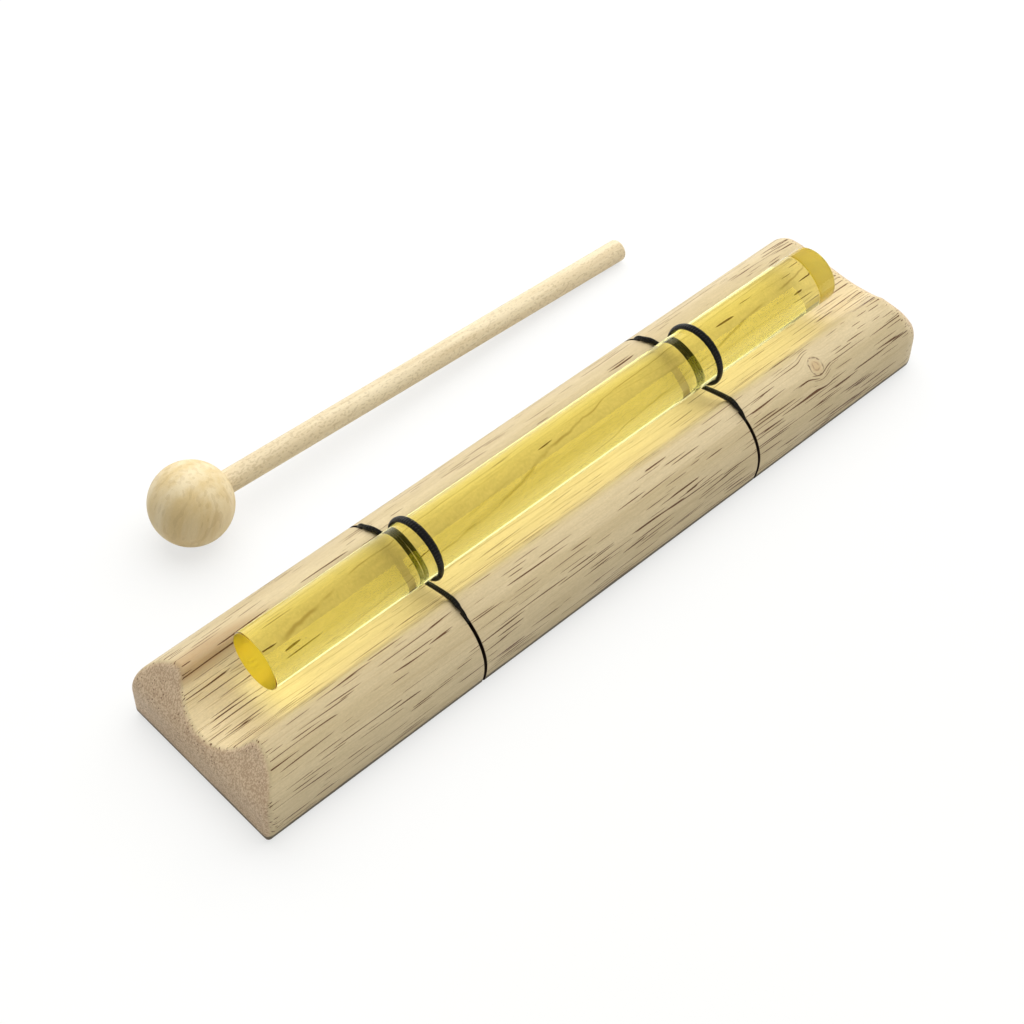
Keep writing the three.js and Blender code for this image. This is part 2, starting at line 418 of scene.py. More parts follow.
@dataclass(frozen=True)
class BlockWood:
    """Pale open-pored hardwood of the block, with end grain, a knot and scorched kerfs, plus painted light in
    the channel and painted shade in the kerfs and along the foot.

    A pair of values is where a mask starts and where it is full, or a least and a greatest value.
    Counts are bumps per metre along X, Y and Z.
    """

    pale: Colour = (0.575, 0.468, 0.280, 1.0)
    tan: Colour = (0.50, 0.40, 0.228, 1.0)
    band_width: float = 5.0 * MM
    wave: float = 3.0 * MM
    fibre: Pair = (0.75, 1.25)
    line: Colour = (0.37, 0.26, 0.125, 1.0)
    line_share: float = 0.26
    vessel: Colour = (0.105, 0.04, 0.013, 1.0)
    streak_length: float = 15.0 * MM
    streak_width: float = 0.36 * MM
    streak_limit: Pair = (0.68, 0.80)
    streak_share: float = 0.96
    streak_depth: float = 0.12 * MM
    streak_relief: float = 0.5
    clear_line: float = 4.0 * MM
    clear_width: Pair = (18.0 * MM, 4.0 * MM)
    clear_length: Pair = (90.0 * MM, 84.0 * MM)
    # Painted light: the channel's floor and lower walls are made paler by this factor.
    channel_light: float = 1.15
    channel_width: Pair = (11.5 * MM, 9.5 * MM)
    channel_top: Pair = (19.0 * MM, 17.0 * MM)
    channel_base: Pair = (6.0 * MM, 12.0 * MM)
    growth_slant: float = 0.042
    growth_spacing: float = 3.1 * MM
    growth_start: float = 1.05 * MM
    growth_wander: float = 0.7 * MM
    growth_wander_counts: Triple = (70.0, 40.0, 40.0)
    growth_width: Pair = (0.05, 0.005)
    growth_breaks: Pair = (0.31, 0.55)
    growth_break_counts: Triple = (110.0, 500.0, 500.0)
    growth_share: float = 0.85
    brown: Colour = (0.36, 0.215, 0.095, 1.0)
    brown_place: Triple = (-97.0 * MM, 12.8 * MM, 20.5 * MM)
    brown_size: Triple = (26.0 * MM, 4.6 * MM, 4.6 * MM)
    brown_edge: Pair = (1.0, 0.35)
    brown_fibre: Pair = (0.2, 1.0)
    knot: Triple = (71.9 * MM, -18.6 * MM, 18.9 * MM)
    knot_stretch: Triple = (1.0, 0.8, 0.8)
    knot_reach: float = 5.2 * MM
    knot_push: Triple = (0.0, -0.85, -0.85)
    knot_rim: float = 2.0 * MM
    knot_rings: tuple[Pair, Pair] = ((1.0, 0.75), (0.45, 0.4))
    knot_line: Pair = (0.3 * MM, 0.05 * MM)
    knot_uneven: float = 0.35 * MM
    knot_breaks: Pair = (0.3, 0.6)
    knot_break_counts: Triple = (900.0, 900.0, 900.0)
    heart: Colour = (0.50, 0.34, 0.17, 1.0)
    heart_share: float = 0.6
    heart_core: float = 0.4
    end_facing: Pair = (0.35, 0.7)
    end_pale: Colour = (0.64, 0.49, 0.32, 1.0)
    end_dark: Colour = (0.44, 0.305, 0.185, 1.0)
    pith: Triple = (0.0, 14.0 * MM, -46.0 * MM)
    ring_spacing: float = 0.75 * MM
    ring_wander: float = 9.0
    ring_wander_counts: Triple = (20.0, 120.0, 120.0)
    ring_share: float = 0.12
    specks: Pair = (0.38, 0.62)
    speck_counts: Triple = (60.0, 2700.0, 2700.0)
    pore_counts: Triple = (90.0, 1300.0, 1300.0)
    pore_size: Pair = (0.28, 0.14)
    pore_tone: Pair = (0.35, 0.75)
    pore_facing: Pair = (0.66, 0.8)
    pore_share: float = 0.8
    # Painted shade along the foot: its colour, height, unevenness and share.
    foot_shade: Colour = (0.085, 0.07, 0.045, 1.0)
    foot_shade_height: Pair = (3.0 * MM, 2.2 * MM)
    foot_shade_uneven: float = 0.6 * MM
    foot_shade_counts: Triple = (70.0, 70.0, 0.0)
    foot_shade_share: float = 0.9
    # Scorch in the kerfs, darkened further as painted shade in the narrow slots.
    burnt_and_shaded: Colour = (0.030, 0.014, 0.008, 1.0)
    kerf_spacing: float = 91.3 * MM
    kerf_width: float = 0.85 * MM
    kerf_floor: float = 17.0 * MM
    slot_depth: float = 3.5 * MM
    kerf_slack: Pair = (0.15 * MM, 0.1 * MM)
    kerf_edge: Pair = (0.6, 0.5)
    mark_size: float = 14.0 * MM
    roughness: Pair = (0.5, 0.66)
    shine: float = 0.35

    def make(self, effects: Effects) -> bpy.types.Material:
        """Makes the material.

        Args:
            effects: The shared groups.

        Returns:
            The material.
        """
        finish = Finish("Block wood", effects)
        board = finish.board
        from_knot = board.vector("SUBTRACT", finish.place, self.knot)
        distance = board.vector("LENGTH", board.vector("MULTIPLY", from_knot, self.knot_stretch))
        grain = self._grain(finish, from_knot, distance)
        wood = self._knot(finish, distance, self._long_wood(finish, grain))
        at_end = board.rise(finish.end_on(), *self.end_facing)
        wood = board.mix(at_end, wood, self._end_wood(finish, grain))
        # Painted shade along the foot.
        wood = board.mix(self._foot_shade(finish), wood, self.foot_shade)
        # Scorch in the kerfs, with painted shade in the narrow slots.
        wood = board.mix(self._burn_and_shade(finish), wood, self.burnt_and_shaded)
        finish.set(
            Base_Color=wood,
            Roughness=finish.touch(self.mark_size, *self.roughness),
            Specular_IOR_Level=self.shine,
        )
        relief = board.math("SUBTRACT", 1.0, grain.outputs["Streak"])
        finish.bump(relief, self.streak_depth, self.streak_relief)
        return finish.material

    def _grain(self, finish: Finish, from_knot: bpy.types.NodeSocket,
               distance: bpy.types.NodeSocket) -> bpy.types.Node:
        """Lays the grain, which bends round the knot and has fewer streaks under the bar.

        Args:
            finish: The material in work.
            from_knot: The way from the knot's middle.
            distance: Distance from the knot's middle.

        Returns:
            The grain's node.
        """
        board = finish.board
        push = board.vector("MULTIPLY", from_knot, self.knot_push)
        bend = board.scale(push, board.rise(distance, self.knot_reach, 0.0))
        split = board.split(finish.place)
        beside = board.rise(board.distance(split["Y"], self.clear_line), *self.clear_width)
        under_bar = board.rise(board.math("ABSOLUTE", split["X"]), *self.clear_length)
        return finish.group(finish.effects.grain, {
            "Vector": board.vector("ADD", finish.place, bend),
            "Streak length": self.streak_length,
            "Streak width": self.streak_width,
            "Streak limit": board.between(board.times(beside, under_bar), *self.streak_limit),
            "Wave": self.wave,
            "Band width": self.band_width,
        })

    def _long_wood(self, finish: Finish, grain: bpy.types.Node) -> bpy.types.NodeSocket:
        """Colours the long grain: tones, fibres, painted light in the channel, lines, the brown band and dark
        vessels.

        Args:
            finish: The material in work.
            grain: The grain's node.

        Returns:
            The colour.
        """
        board = finish.board
        fibre = grain.outputs["Fibre"]
        in_channel = self._in_channel(finish)
        wood = board.mix(grain.outputs["Tone"], self.pale, self.tan)
        # Fibre tone, times the painted light that makes the channel paler.
        fibre_and_channel_light = board.times(board.between(fibre, *self.fibre), board.between(in_channel, 1.0, self.channel_light))
        wood = board.scale(wood, fibre_and_channel_light)
        wood = board.mix(board.times(grain.outputs["Line"], self.line_share), wood, self.line)
        growth = board.times(self._growth(finish), in_channel)
        wood = board.mix(board.times(growth, self.growth_share), wood, self.line)
        from_brown = board.vector("SUBTRACT", finish.place, self.brown_place)
        outside = board.vector("LENGTH", board.vector("DIVIDE", from_brown, self.brown_size))
        brown = board.times(board.rise(outside, *self.brown_edge), board.between(fibre, *self.brown_fibre))
        wood = board.mix(brown, wood, self.brown)
        return board.mix(board.times(grain.outputs["Streak"], self.streak_share), wood, self.vessel)

    def _in_channel(self, finish: Finish) -> bpy.types.NodeSocket:
        """Finds the channel, whose wood is made paler than the outside as painted light.

        Args:
            finish: The material in work.

        Returns:
            1 on the channel's floor and lower walls, 0 elsewhere.
        """
        board = finish.board
        split = board.split(finish.place)
        inside = board.rise(board.math("ABSOLUTE", split["Y"]), *self.channel_width)
        below = board.rise(split["Z"], *self.channel_top)
        above = board.rise(split["Z"], *self.channel_base)
        return board.times(inside, board.times(below, above))

    def _growth(self, finish: Finish) -> bpy.types.NodeSocket:
        """Draws the thin, broken lines in which growth rings run out along the grain.

        Args:
            finish: The material in work.

        Returns:
            1 on a line, 0 elsewhere.
        """
        board = finish.board
        split = board.split(finish.place)
        wander = board.pattern(finish.place, self.growth_wander_counts, 3.0)
        slant = board.math("ADD", split["Y"], board.times(split["X"], self.growth_slant))
        slant = board.math("ADD", slant, board.between(wander, -self.growth_wander, self.growth_wander))
        slant = board.math("ADD", slant, self.growth_start)
        turn = board.math("FRACT", board.math("DIVIDE", slant, self.growth_spacing))
        on_line = board.rise(board.distance(turn, 0.5), *self.growth_width)
        breaks = board.pattern(finish.place, self.growth_break_counts, 1.0)
        return board.times(on_line, board.rise(breaks, *self.growth_breaks))

    def _knot(self, finish: Finish, distance: bpy.types.NodeSocket,
              wood: bpy.types.NodeSocket) -> bpy.types.NodeSocket:
        """Draws the small knot: a warm heart in a thin, broken rim.

        Args:
            finish: The material in work.
            distance: Distance from the knot's middle.
            wood: The wood round it.

        Returns:
            The wood with the knot in it.
        """
        board = finish.board
        breaks = board.pattern(finish.place, self.knot_break_counts, 1.0)
        uneven = board.math("ADD", distance, board.between(breaks, -self.knot_uneven, self.knot_uneven))
        heart = board.rise(uneven, self.knot_rim, self.knot_rim * self.heart_core)
        wood = board.mix(board.times(heart, self.heart_share), wood, self.heart)
        for size, share in self.knot_rings:
            on_rim = board.rise(board.distance(uneven, self.knot_rim * size), *self.knot_line)
            rim = board.times(on_rim, board.rise(breaks, *self.knot_breaks))
            wood = board.mix(board.times(rim, share), wood, self.vessel)
        return wood

    def _end_wood(self, finish: Finish, grain: bpy.types.Node) -> bpy.types.NodeSocket:
        """Colours the end grain: pinkish brown with fine specks, faint growth rings and open pores.

        Args:
            finish: The material in work.
            grain: The grain's node.

        Returns:
            The colour.
        """
        board = finish.board
        specks = board.pattern(finish.place, self.speck_counts, 3.0)
        from_pith = board.vector("SUBTRACT", finish.place, self.pith)
        radius = board.vector("LENGTH", board.vector("MULTIPLY", from_pith, (0.0, 1.0, 1.0)))
        wander = board.pattern(finish.place, self.ring_wander_counts, 2.0)
        wander = board.between(wander, 0.0, self.ring_wander)
        turns = board.math("ADD", board.math("DIVIDE", radius, self.ring_spacing), wander)
        rings = board.between(board.math("SINE", turns), 0.0, self.ring_share)
        dark = board.math("ADD", board.rise(specks, *self.specks), rings)
        ground = board.mix(dark, self.end_pale, self.end_dark)
        spots = board.vector("MULTIPLY", finish.place, self.pore_counts)
        cells = board.add("ShaderNodeTexVoronoi", {"Vector": spots, "Scale": 1.0}).outputs["Distance"]
        upright = board.rise(finish.end_on(), *self.pore_facing)
        in_band = board.times(board.rise(grain.outputs["Tone"], *self.pore_tone), upright)
        open_pores = board.times(board.rise(cells, *self.pore_size), in_band)
        return board.mix(board.times(open_pores, self.pore_share), ground, self.vessel)

    def _foot_shade(self, finish: Finish) -> bpy.types.NodeSocket:
        """Finds the painted shade along the foot, darker towards the bottom.

        Args:
            finish: The material in work.

        Returns:
            The painted shade's share.
        """
        board = finish.board
        uneven = board.pattern(finish.place, self.foot_shade_counts, 2.0)
        uneven = board.between(uneven, -self.foot_shade_uneven, self.foot_shade_uneven)
        height = board.math("ADD", board.split(finish.place)["Z"], uneven)
        return board.times(board.rise(height, *self.foot_shade_height), self.foot_shade_share)

    def _burn_and_shade(self, finish: Finish) -> bpy.types.NodeSocket:
        """Finds the kerfs' walls, scorched and darkened further as painted shade.

        Args:
            finish: The material in work.

        Returns:
            1 in the kerfs, 0 elsewhere.
        """
        board = finish.board
        split = board.split(finish.place)
        off_kerf = board.distance(board.math("ABSOLUTE", split["X"]), self.kerf_spacing / 2.0)
        in_kerf = board.rise(off_kerf, *(self.kerf_width * share for share in self.kerf_edge))
        outer, inner = self.kerf_slack
        sideways = board.math("ABSOLUTE", split["Y"])
        aside = board.rise(sideways, self.kerf_floor - outer, self.kerf_floor - inner)
        below = board.rise(split["Z"], self.slot_depth + outer, self.slot_depth + inner)
        return board.times(in_kerf, board.math("MAXIMUM", aside, below))


@dataclass(frozen=True)
class TintedGlass:
    """Clear polished yellow of the tone bar, deeper in colour the further light goes through it."""

    tint: Colour = (1.0, 0.995, 0.87, 1.0)
    end_tint: Colour = (0.88, 0.97, 0.08, 1.0)
    gleam: Colour = (1.0, 0.88, 0.1, 1.0)
    through: Colour = (0.993, 0.953, 0.0, 1.0)
    density: float = 40.0
    ior: float = 1.49
    end_facing: Pair = (0.75, 0.95)
    end_roughness: float = 0.42
    mark_size: float = 9.0 * MM
    mark_roughness: float = 0.02

    def make(self, effects: Effects) -> bpy.types.Material:
        """Makes the material.

        Args:
            effects: The shared groups.

        Returns:
            The material.
        """
        finish = Finish("Yellow glass", effects)
        board = finish.board
        polished = finish.touch(self.mark_size, 0.0, self.mark_roughness)
        at_end = board.rise(finish.end_on(), *self.end_facing)
        finish.set(
            Base_Color=board.mix(at_end, self.tint, self.end_tint),
            Roughness=board.math("MAXIMUM", polished, board.times(at_end, self.end_roughness)),
            IOR=self.ior,
            Transmission_Weight=1.0,
            Specular_Tint=self.gleam,
        )
        depth = board.add("ShaderNodeVolumeAbsorption", {"Color": self.through, "Density": self.density})
        board.put(finish.output.inputs["Volume"], depth.outputs["Volume"])
        return finish.material


@dataclass(frozen=True)
class BraidedCord:
    """Black braided cord with a slight sheen, and painted shade in the braid's valleys."""

    thread: Colour = (0.008, 0.0075, 0.006, 1.0)
    # Painted shade in the braid's valleys.
    valley_shade: Colour = (0.002, 0.002, 0.002, 1.0)
    carriers: float = 3.0
    braid_depth: float = 0.5 * MM
    braid_height: Pair = (0.5, 1.0)
    mark_size: float = 2.0 * MM
    roughness: Pair = (0.32, 0.48)
    shine: float = 0.24

    def make(self, effects: Effects) -> bpy.types.Material:
        """Makes the material.

        Args:
            effects: The shared groups.

        Returns:
            The material.
        """
        finish = Finish("Black cord", effects)
        board = finish.board
        unrolled = board.split(finish.coordinates.outputs["UV"])
        turn = board.times(unrolled["X"], 2.0 * math.pi * self.carriers)
        along = board.times(unrolled["Y"], 2.0 * math.pi * self.carriers)
        right = board.math("SINE", board.math("ADD", turn, along))
        left = board.math("SINE", board.math("SUBTRACT", turn, along))
        braid = board.between(board.times(right, left), *self.braid_height)
        # The braid's valleys get painted shade.
        finish.set(
            Base_Color=board.mix(braid, self.valley_shade, self.thread),
            Roughness=finish.touch(self.mark_size, *self.roughness),
            Specular_IOR_Level=self.shine,
        )
        finish.bump(braid, self.braid_depth, 1.0)
        return finish.material


@dataclass(frozen=True)
class MalletWood:
    """Pale close-grained wood of the mallet."""

    name: str
    pale: Colour
    tan: Colour
    fleck: Colour
    fleck_length: float
    fleck_width: float
    fleck_share: float
    band_width: float
    grain_turn: Triple = (0.0, 0.0, 0.0)
    fleck_limit: float = 0.60
    fleck_depth: float = 0.06 * MM
    fleck_relief: float = 0.35
    wave: float = 2.0 * MM
    fibre: Pair = (0.88, 1.12)
    mark_size: float = 6.0 * MM
    roughness: Pair = (0.5, 0.66)
    shine: float = 0.3

    def make(self, effects: Effects) -> bpy.types.Material:
        """Makes the material.

        Args:
            effects: The shared groups.

        Returns:
            The material.
        """
        finish = Finish(self.name, effects)
        board = finish.board
        turned = board.add("ShaderNodeMapping", {"Vector": finish.place, "Rotation": self.grain_turn})
        grain = finish.group(effects.grain, {
            "Vector": turned.outputs["Vector"],
            "Streak length": self.fleck_length,
            "Streak width": self.fleck_width,
            "Streak limit": self.fleck_limit,
            "Wave": self.wave,
            "Band width": self.band_width,
        })
        wood = board.mix(grain.outputs["Tone"], self.pale, self.tan)
        wood = board.scale(wood, board.between(grain.outputs["Fibre"], *self.fibre))
        flecks = board.times(grain.outputs["Streak"], self.fleck_share)
        finish.set(
            Base_Color=board.mix(flecks, wood, self.fleck),
            Roughness=finish.touch(self.mark_size, *self.roughness),
            Specular_IOR_Level=self.shine,
        )
        relief = board.math("SUBTRACT", 1.0, grain.outputs["Streak"])
        finish.bump(relief, self.fleck_depth, self.fleck_relief)
        return finish.material


@dataclass(frozen=True)
class PaleFloor:
    """White table, faintly uneven, which the camera sees brightened and fading into the white room."""

    white: Colour = (0.83, 0.83, 0.82, 1.0)
    warm: Colour = (0.81, 0.81, 0.795, 1.0)
    unlit: Colour = (0.0, 0.0, 0.0, 1.0)
    pale: Colour = (0.22, 0.22, 0.218, 1.0)
    horizon: Colour = (1.18, 1.18, 1.17, 1.0)
    fade: Pair = (0.3, 1.2)
    glow: float = 0.85
    mark_size: float = 0.4
    roughness: float = 0.8

    def make(self, effects: Effects) -> bpy.types.Material:
        """Makes the material.

        Args:
            effects: The shared groups.

        Returns:
            The material.
        """
        finish = Finish("Pale floor", effects)
        board = finish.board
        colour = board.mix(finish.touch(self.mark_size, 0.0, 1.0), self.white, self.warm)
        path = board.add("ShaderNodeLightPath").outputs
        seen = board.math("MAXIMUM", path["Is Camera Ray"], path["Is Transmission Ray"])
        away = board.rise(board.vector("LENGTH", finish.place), *self.fade)
        away = board.times(away, path["Is Camera Ray"])
        finish.set(
            Base_Color=board.mix(seen, colour, self.pale),
            Roughness=self.roughness,
            Emission_Color=board.mix(away, board.mix(seen, self.unlit, colour), self.horizon),
            Emission_Strength=self.glow,
            Specular_IOR_Level=0.0,
        )
        return finish.material


def sweep_arc(bm: bmesh.types.BMesh, start: bmesh.types.BMVert, centre: Pair, angle: float,
              steps: int) -> bmesh.types.BMVert:
    """Draws an arc in the plane across X by turning a vertex about a centre.

    Args:
        bm: The mesh in work.
        start: The vertex that is turned.
        centre: Centre, as y and z.
        angle: Turn about +X, in radians.
        steps: Number of chords.

    Returns:
        The vertex at the arc's end.
    """
    turned = bmesh.ops.spin(
        bm, geom=[start], cent=(start.co.x, *centre), axis=(1.0, 0.0, 0.0), angle=angle, steps=steps,
    )
    return only_verts(turned["geom_last"])[0]


def ring_edges(ring: list[bmesh.types.BMVert]) -> list[bmesh.types.BMEdge]:
    """Lists the edges between neighbours on a closed ring."""
    members = set(ring)
    between = (edge for vert in ring for edge in vert.link_edges if edge.other_vert(vert) in members)
    return list(dict.fromkeys(between))


def neighbour(vert: bmesh.types.BMVert, members: Container[bmesh.types.BMVert]) -> bmesh.types.BMVert:
    """Finds the vertex among some that an edge joins to this one."""
    return next(edge.other_vert(vert) for edge in vert.link_edges if edge.other_vert(vert) in members)


def smooth(share: float) -> float:
    """Smooth step from 0 to 1."""
    held = max(0.0, min(1.0, share))
    return held * held * (3.0 - 2.0 * held)


def arc(centre: Vector, radius: float, start: float, end: float, steps: int) -> list[Vector]:
    """Lists points along an arc.

    Args:
        centre: The arc's centre, as y and z.
        radius: Its radius.
        start: First angle.
        end: Last angle.
        steps: Number of chords.

    Returns:
        The points, both ends included.
    """
    angles = [start + (end - start) * i / steps for i in range(steps + 1)]
    return [centre + radius * Vector((math.cos(angle), math.sin(angle))) for angle in angles]


def hook(low: Vector, high: Vector, lean: float, steps: int) -> list[Vector]:
    """Curves from straight up at a low point into an arc that starts at a high one.

    Args:
        low: Start, where the way is straight up.
        high: End, on the arc.
        lean: The arc's angle there.
        steps: Number of chords.

    Returns:
        The points, both ends included.
    """
    span = (high - low).length / 3.0
    out = low + Vector((0.0, span))
    back = high - span * Vector((-math.sin(lean), math.cos(lean)))
    points = []
    for i in range(steps + 1):
        t = i / steps
        s = 1.0 - t
        points.append(low * s**3 + out * (3.0 * s * s * t) + back * (3.0 * s * t * t) + high * t**3)
    return points


def only_verts(items: list[object]) -> list[bmesh.types.BMVert]:
    """Picks the vertices out of an operator's result."""
    return [item for item in items if isinstance(item, bmesh.types.BMVert)]


def cut_through(bm: bmesh.types.BMesh, place: Vector, direction: Vector, merge: float = 0.0) -> None:
    """Cuts all faces along a plane.

    Args:
        bm: The mesh in work.
        place: A point of the plane.
        direction: The way that the plane faces.
        merge: Distance within which a vertex already counts as cut.
    """
    whole = bm.verts[:] + bm.edges[:] + bm.faces[:]
    bmesh.ops.bisect_plane(bm, geom=whole, dist=merge, plane_co=place, plane_no=direction)


def pull_rod(radius: float, length: float, start: Vector, sides: int, rim: float,
             rim_steps: int) -> bmesh.types.BMesh:
    """Makes a rod along X with rounded rims.

    Args:
        radius: Its radius.
        length: Its length.
        start: Middle of its near end.
        sides: Number of flats round it.
        rim: Radius of the rims.
        rim_steps: Number of flats across a rim.

    Returns:
        The mesh.
    """
    bm = bmesh.new()
    turn = Matrix.Translation(start) @ Matrix.Rotation(math.pi / 2.0, 4, "Y")
    bmesh.ops.create_circle(bm, cap_ends=True, segments=sides, radius=radius, matrix=turn)
    pulled = bmesh.ops.extrude_face_region(bm, geom=bm.faces[:])["geom"]
    bmesh.ops.translate(bm, verts=only_verts(pulled), vec=(length, 0.0, 0.0))
    bmesh.ops.recalc_face_normals(bm, faces=bm.faces)
    rims = [edge for edge in bm.edges if abs(edge.calc_face_angle(0.0)) > RIM_ANGLE]
    bmesh.ops.bevel(
        bm, geom=rims, offset=rim, segments=rim_steps, affect="EDGES", profile=0.5, material=-1,
        offset_type="OFFSET", clamp_overlap=True,
    )
    return bm


def make_piece(bm: bmesh.types.BMesh, name: str, material: bpy.types.Material, node: str,
               crease: float = 40.0) -> bpy.types.Object:
    """Turns a finished bmesh into a piece that stands for a CAD node.

    Args:
        bm: The mesh, in the part's frame. It is freed.
        name: The piece's name.
        material: Its finish.
        node: The CAD node that it stands for.
        crease: Angle above which an edge is shown sharp, in degrees.

    Returns:
        The piece.
    """
    mesh = bpy.data.meshes.new(name)
    bm.to_mesh(mesh)
    bm.free()
    mesh.materials.append(material)
    mesh.shade_smooth()
    mesh.set_sharp_from_angle(angle=math.radians(crease))
    piece = bpy.data.objects.new(name, mesh)
    bpy.context.scene.collection.objects.link(piece)
    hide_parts(node)
    LOG.info("%s: %d faces", name, len(mesh.polygons))
    return piece


def even_shading(piece: bpy.types.Object) -> None:
    """Keeps large flat faces flat in their shading, beside rounded edges."""
    weighted = piece.modifiers.new("Even shading", "WEIGHTED_NORMAL")
    weighted.keep_sharp = True


@dataclass(frozen=True)
class SandedEnd:
    """How far an end of the block is sanded: foot, upright corners and rim round, and the crests down."""

    foot: float
    corner: float
    rim: float
    crest: float


@dataclass
class BaseBlock:
    """The wooden block: round shoulders, a channel between them, bevelled ends and two kerfs."""

    length: float = 218.0 * MM
    half_width: float = 24.9 * MM
    foot_inset: float = 0.75 * MM
    foot_radius: float = 2.0 * MM
    shoulder_radius: float = 13.4 * MM
    shoulder_height: float = 7.7 * MM
    crest_radius: float = 2.6 * MM
    channel_radius: float = 14.6 * MM
    channel_floor: float = 13.5 * MM
    end_upright: float = 11.0 * MM
    end_lean: float = math.radians(36.7)
    end_blend: float = 8.0 * MM
    near_end: SandedEnd = SandedEnd(foot=2.2 * MM, corner=2.4 * MM, rim=1.1 * MM, crest=0.0)
    far_end: SandedEnd = SandedEnd(foot=5.8 * MM, corner=7.0 * MM, rim=2.2 * MM, crest=1.3 * MM)
    rim_foot: float = 0.6 * MM
    rim_start: float = 0.5 * MM
    rim_rise: float = 4.5 * MM
    rim_steps: int = 6
    ring_gap: float = 1.0 * MM
    sanded_length: float = 22.0 * MM
    sanded_height: float = 15.0 * MM
    sanded_rise: float = 9.0 * MM
    kerf_spacing: float = 91.3 * MM
    kerf_width: float = 0.85 * MM
    kerf_floor: float = 17.0 * MM
    slot_depth: float = 3.5 * MM
    foot_steps: int = 5
    side_steps: int = 6
    shoulder_steps: int = 28
    crest_steps: int = 10
    channel_steps: int = 22
    lean_steps: int = 8
    round_steps: int = 6
    seam: float = 0.01 * MM
    cut_merge: float = 0.02 * MM

    @property
    def shoulder(self) -> Vector:
        """Centre of the back shoulder's round, as y and z."""
        return Vector((self.half_width - self.shoulder_radius, self.shoulder_height))

    @property
    def channel(self) -> Vector:
        """Centre of the channel's round, as y and z."""
        return Vector((0.0, self.channel_floor + self.channel_radius))

    @property
    def crest(self) -> Vector:
        """Centre of the back crest's round, which touches the shoulder's and the channel's."""
        way = self.channel - self.shoulder
        inner = self.shoulder_radius - self.crest_radius
        outer = self.channel_radius + self.crest_radius
        along = (way.length_squared + inner**2 - outer**2) / (2.0 * way.length)
        aside = math.sqrt(inner**2 - along**2)
        unit = way.normalized()
        return self.shoulder + unit * along + Vector((unit.y, -unit.x)) * aside

    @property
    def crest_angle(self) -> float:
        """Where the shoulder's round ends and the crest's starts, in radians."""
        way = self.crest - self.shoulder
        return math.atan2(way.y, way.x)

    def build(self, material: bpy.types.Material) -> bpy.types.Object:
        """Builds the block.

        Args:
            material: Its wood.

        Returns:
            The piece.
        """
        bm = bmesh.new()
        self._draw_section(bm)
        self._pull_length(bm)
        self._shape_ends(bm)
        for side in (-1.0, 1.0):
            self._saw_kerf(bm, side * self.kerf_spacing / 2.0)
        bmesh.ops.recalc_face_normals(bm, faces=bm.faces)
        piece = make_piece(bm, "block_body", material, "base_block")
        even_shading(piece)
        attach(piece, "base")
        return piece

    def _draw_section(self, bm: bmesh.types.BMesh) -> None:
        """Draws the cross-section's outline at the near end: its back half, then the mirror image."""
        x = -self.length / 2.0
        wide_base = self.half_width - self.foot_inset
        swell = self.shoulder_height - self.foot_radius
        side_radius = (swell**2 + self.foot_inset**2) / (2.0 * self.foot_inset)
        crest_end = math.atan2(*reversed(self.channel - self.crest))

        middle = bm.verts.new((x, 0.0, 0.0))
        foot = bmesh.ops.extrude_vert_indiv(bm, verts=[middle])["verts"][0]
        foot.co.y = wide_base - self.foot_radius
        foot = sweep_arc(bm, foot, (foot.co.y, self.foot_radius), math.pi / 2.0, self.foot_steps)
        side_centre = (self.half_width - side_radius, self.shoulder_height)
        widest = sweep_arc(bm, foot, side_centre, math.asin(swell / side_radius), self.side_steps)
        top = sweep_arc(bm, widest, tuple(self.shoulder), self.crest_angle, self.shoulder_steps)
        crest = sweep_arc(bm, top, tuple(self.crest), crest_end - self.crest_angle, self.crest_steps)
        sweep_arc(bm, crest, tuple(self.channel), math.pi / 2.0 - crest_end, self.channel_steps)
        bmesh.ops.mirror(bm, geom=bm.verts[:] + bm.edges[:], axis="Y", merge_dist=self.seam)
        bmesh.ops.remove_doubles(bm, verts=bm.verts, dist=self.seam / 2.0)

    def _pull_length(self, bm: bmesh.types.BMesh) -> None:
        """Extrudes the outline to the far end, with close rings at both ends, and closes it."""
        first = last = bm.edges[:]
        close = [self.ring_gap] * self.rim_steps
        for step in (*close, self.length - 2.0 * sum(close), *close):
            made = bmesh.ops.extrude_edge_only(bm, edges=last)["geom"]
            fresh = only_verts(made)
            bmesh.ops.translate(bm, verts=fresh, vec=(step, 0.0, 0.0))
            last = ring_edges(fresh)
        for rim in (first, last):
            bmesh.ops.contextual_create(bm, geom=rim)

    def _shape_ends(self, bm: bmesh.types.BMesh) -> None:
        """Rounds the rims of both ends, then leans the ends back and sands their feet and corners."""
        bmesh.ops.recalc_face_normals(bm, faces=bm.faces)
        outwards = {}
        for vert in bm.verts:
            along = [face.normal for face in vert.link_faces if abs(face.normal.x) < 0.5]
            outwards[vert] = sum(along, Vector()).normalized()
        for vert, out in outwards.items():
            ring = round((self.length / 2.0 - abs(vert.co.x)) / self.ring_gap)
            turn = math.pi / 2.0 * (1.0 - ring / self.rim_steps)
            rim = self._end_at(vert.co.x).rim
            above_foot = smooth((vert.co.z - self.rim_start) / self.rim_rise)
            reach = self.rim_foot + (rim - self.rim_foot) * above_foot
            vert.co -= out * reach * (1.0 - math.cos(turn))
            vert.co.x = math.copysign(self.length / 2.0 - reach * (1.0 - math.sin(turn)), vert.co.x)
        for place, direction in self._end_cuts():
            cut_through(bm, place, direction, self.cut_merge)
        for vert in bm.verts:
            if abs(vert.co.x) > self.length / 2.0 - self.sanded_length / 2.0:
                lowered = smooth((vert.co.z - self.sanded_height) / self.sanded_rise)
                vert.co.z -= self._end_at(vert.co.x).crest * lowered
            vert.co.x -= math.copysign(self._end_drop(vert.co), vert.co.x)

    def _end_at(self, x: float) -> SandedEnd:
        """Finds the end that a place belongs to."""
        return self.near_end if x < 0.0 else self.far_end

